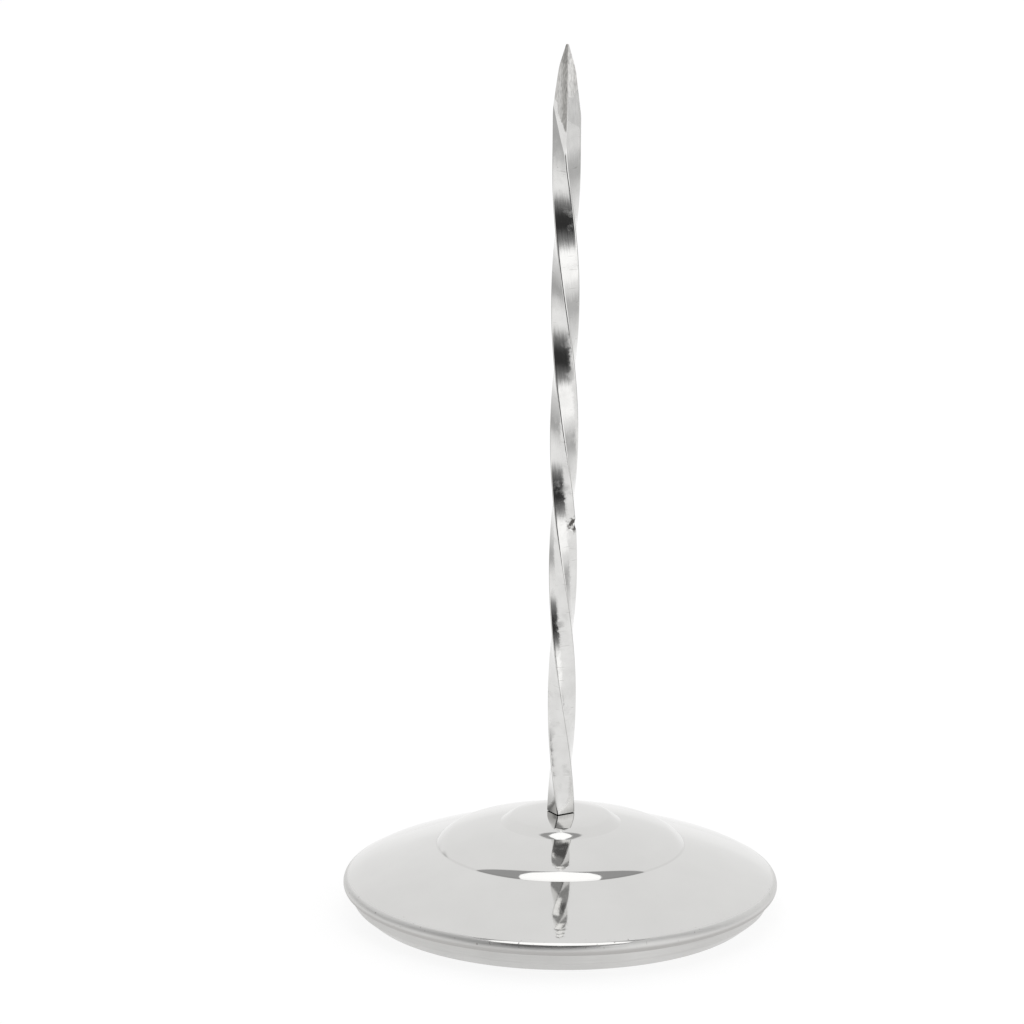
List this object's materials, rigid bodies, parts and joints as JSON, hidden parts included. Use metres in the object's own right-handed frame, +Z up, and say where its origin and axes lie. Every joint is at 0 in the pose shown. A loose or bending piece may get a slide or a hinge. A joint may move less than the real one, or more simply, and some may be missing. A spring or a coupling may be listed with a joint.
{
  "type": "ticket spike",
  "caption": "Counter spike for paper tickets: a twisted square bar with a ground point, upright on a weighted, stepped round metal base.",
  "frame": {"origin": "centre of the face that it stands on", "axes": "+Z up along the spike, -Y towards the viewer in the picture"},
  "size_m": [0.084, 0.084, 0.1704],
  "materials": {
    "bright_bar": "bright drawn bar with a rough ground point",
    "polished_dome": "mirror polished, lightly worn",
    "satin_pan": "satin",
    "ballast_iron": "as cast, blackened",
    "tube_steel": "drawn tube, cut square",
    "plated_hardware": "zinc plated",
    "spring_steel": "dull zinc plated",
    "pad_rubber": "matt, finely grained"
  },
  "bodies": {
    "root": {"spike": "bright_bar", "dome_cover": "polished_dome", "base_pan": "satin_pan", "ballast_disc": "ballast_iron", "spacer_tube": "tube_steel", "flat_washers": "plated_hardware", "lock_washer": "spring_steel", "hex_nut": "plated_hardware", "non_slip_pad": "pad_rubber"}
  },
  "joints": []
}
